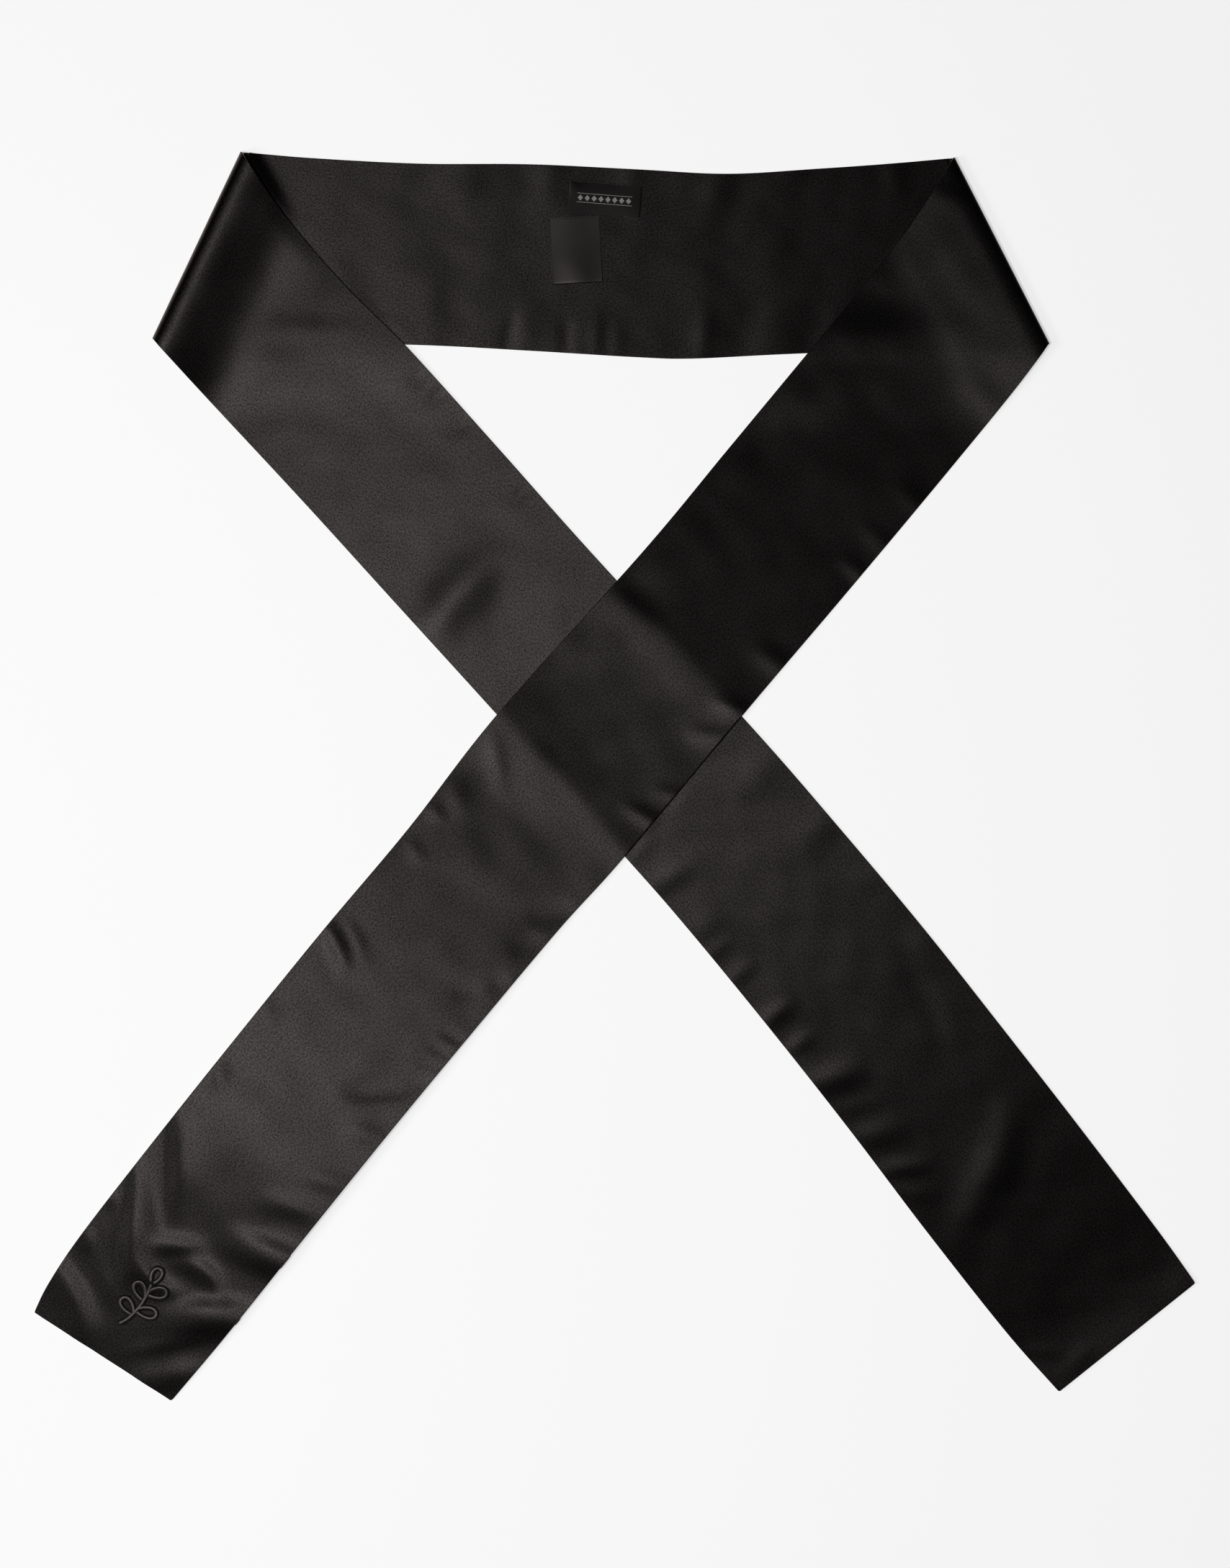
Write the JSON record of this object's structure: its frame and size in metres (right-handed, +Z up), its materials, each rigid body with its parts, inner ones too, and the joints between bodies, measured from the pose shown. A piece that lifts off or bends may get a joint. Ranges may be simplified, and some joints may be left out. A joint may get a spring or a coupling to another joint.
{
  "type": "skinny scarf",
  "caption": "Long narrow satin scarf laid flat, folded forward over its neck at two corners, with its two ends crossed.",
  "frame": {"origin": "on the table, under the middle of the laid-out scarf", "axes": "+Z up from the table, +Y towards the neck, +X to the right"},
  "size_m": [0.5726, 0.6154, 0.0079],
  "materials": {
    "satin": "black satin with a soft grey sheen",
    "woven_label": "matt black woven label",
    "care_label": "smooth black satin ribbon"
  },
  "bodies": {
    "root": {"neck_stretch": "satin", "left_stretch": "satin", "right_stretch": "satin", "neck_label": "woven_label", "care_label": "care_label"}
  },
  "joints": []
}
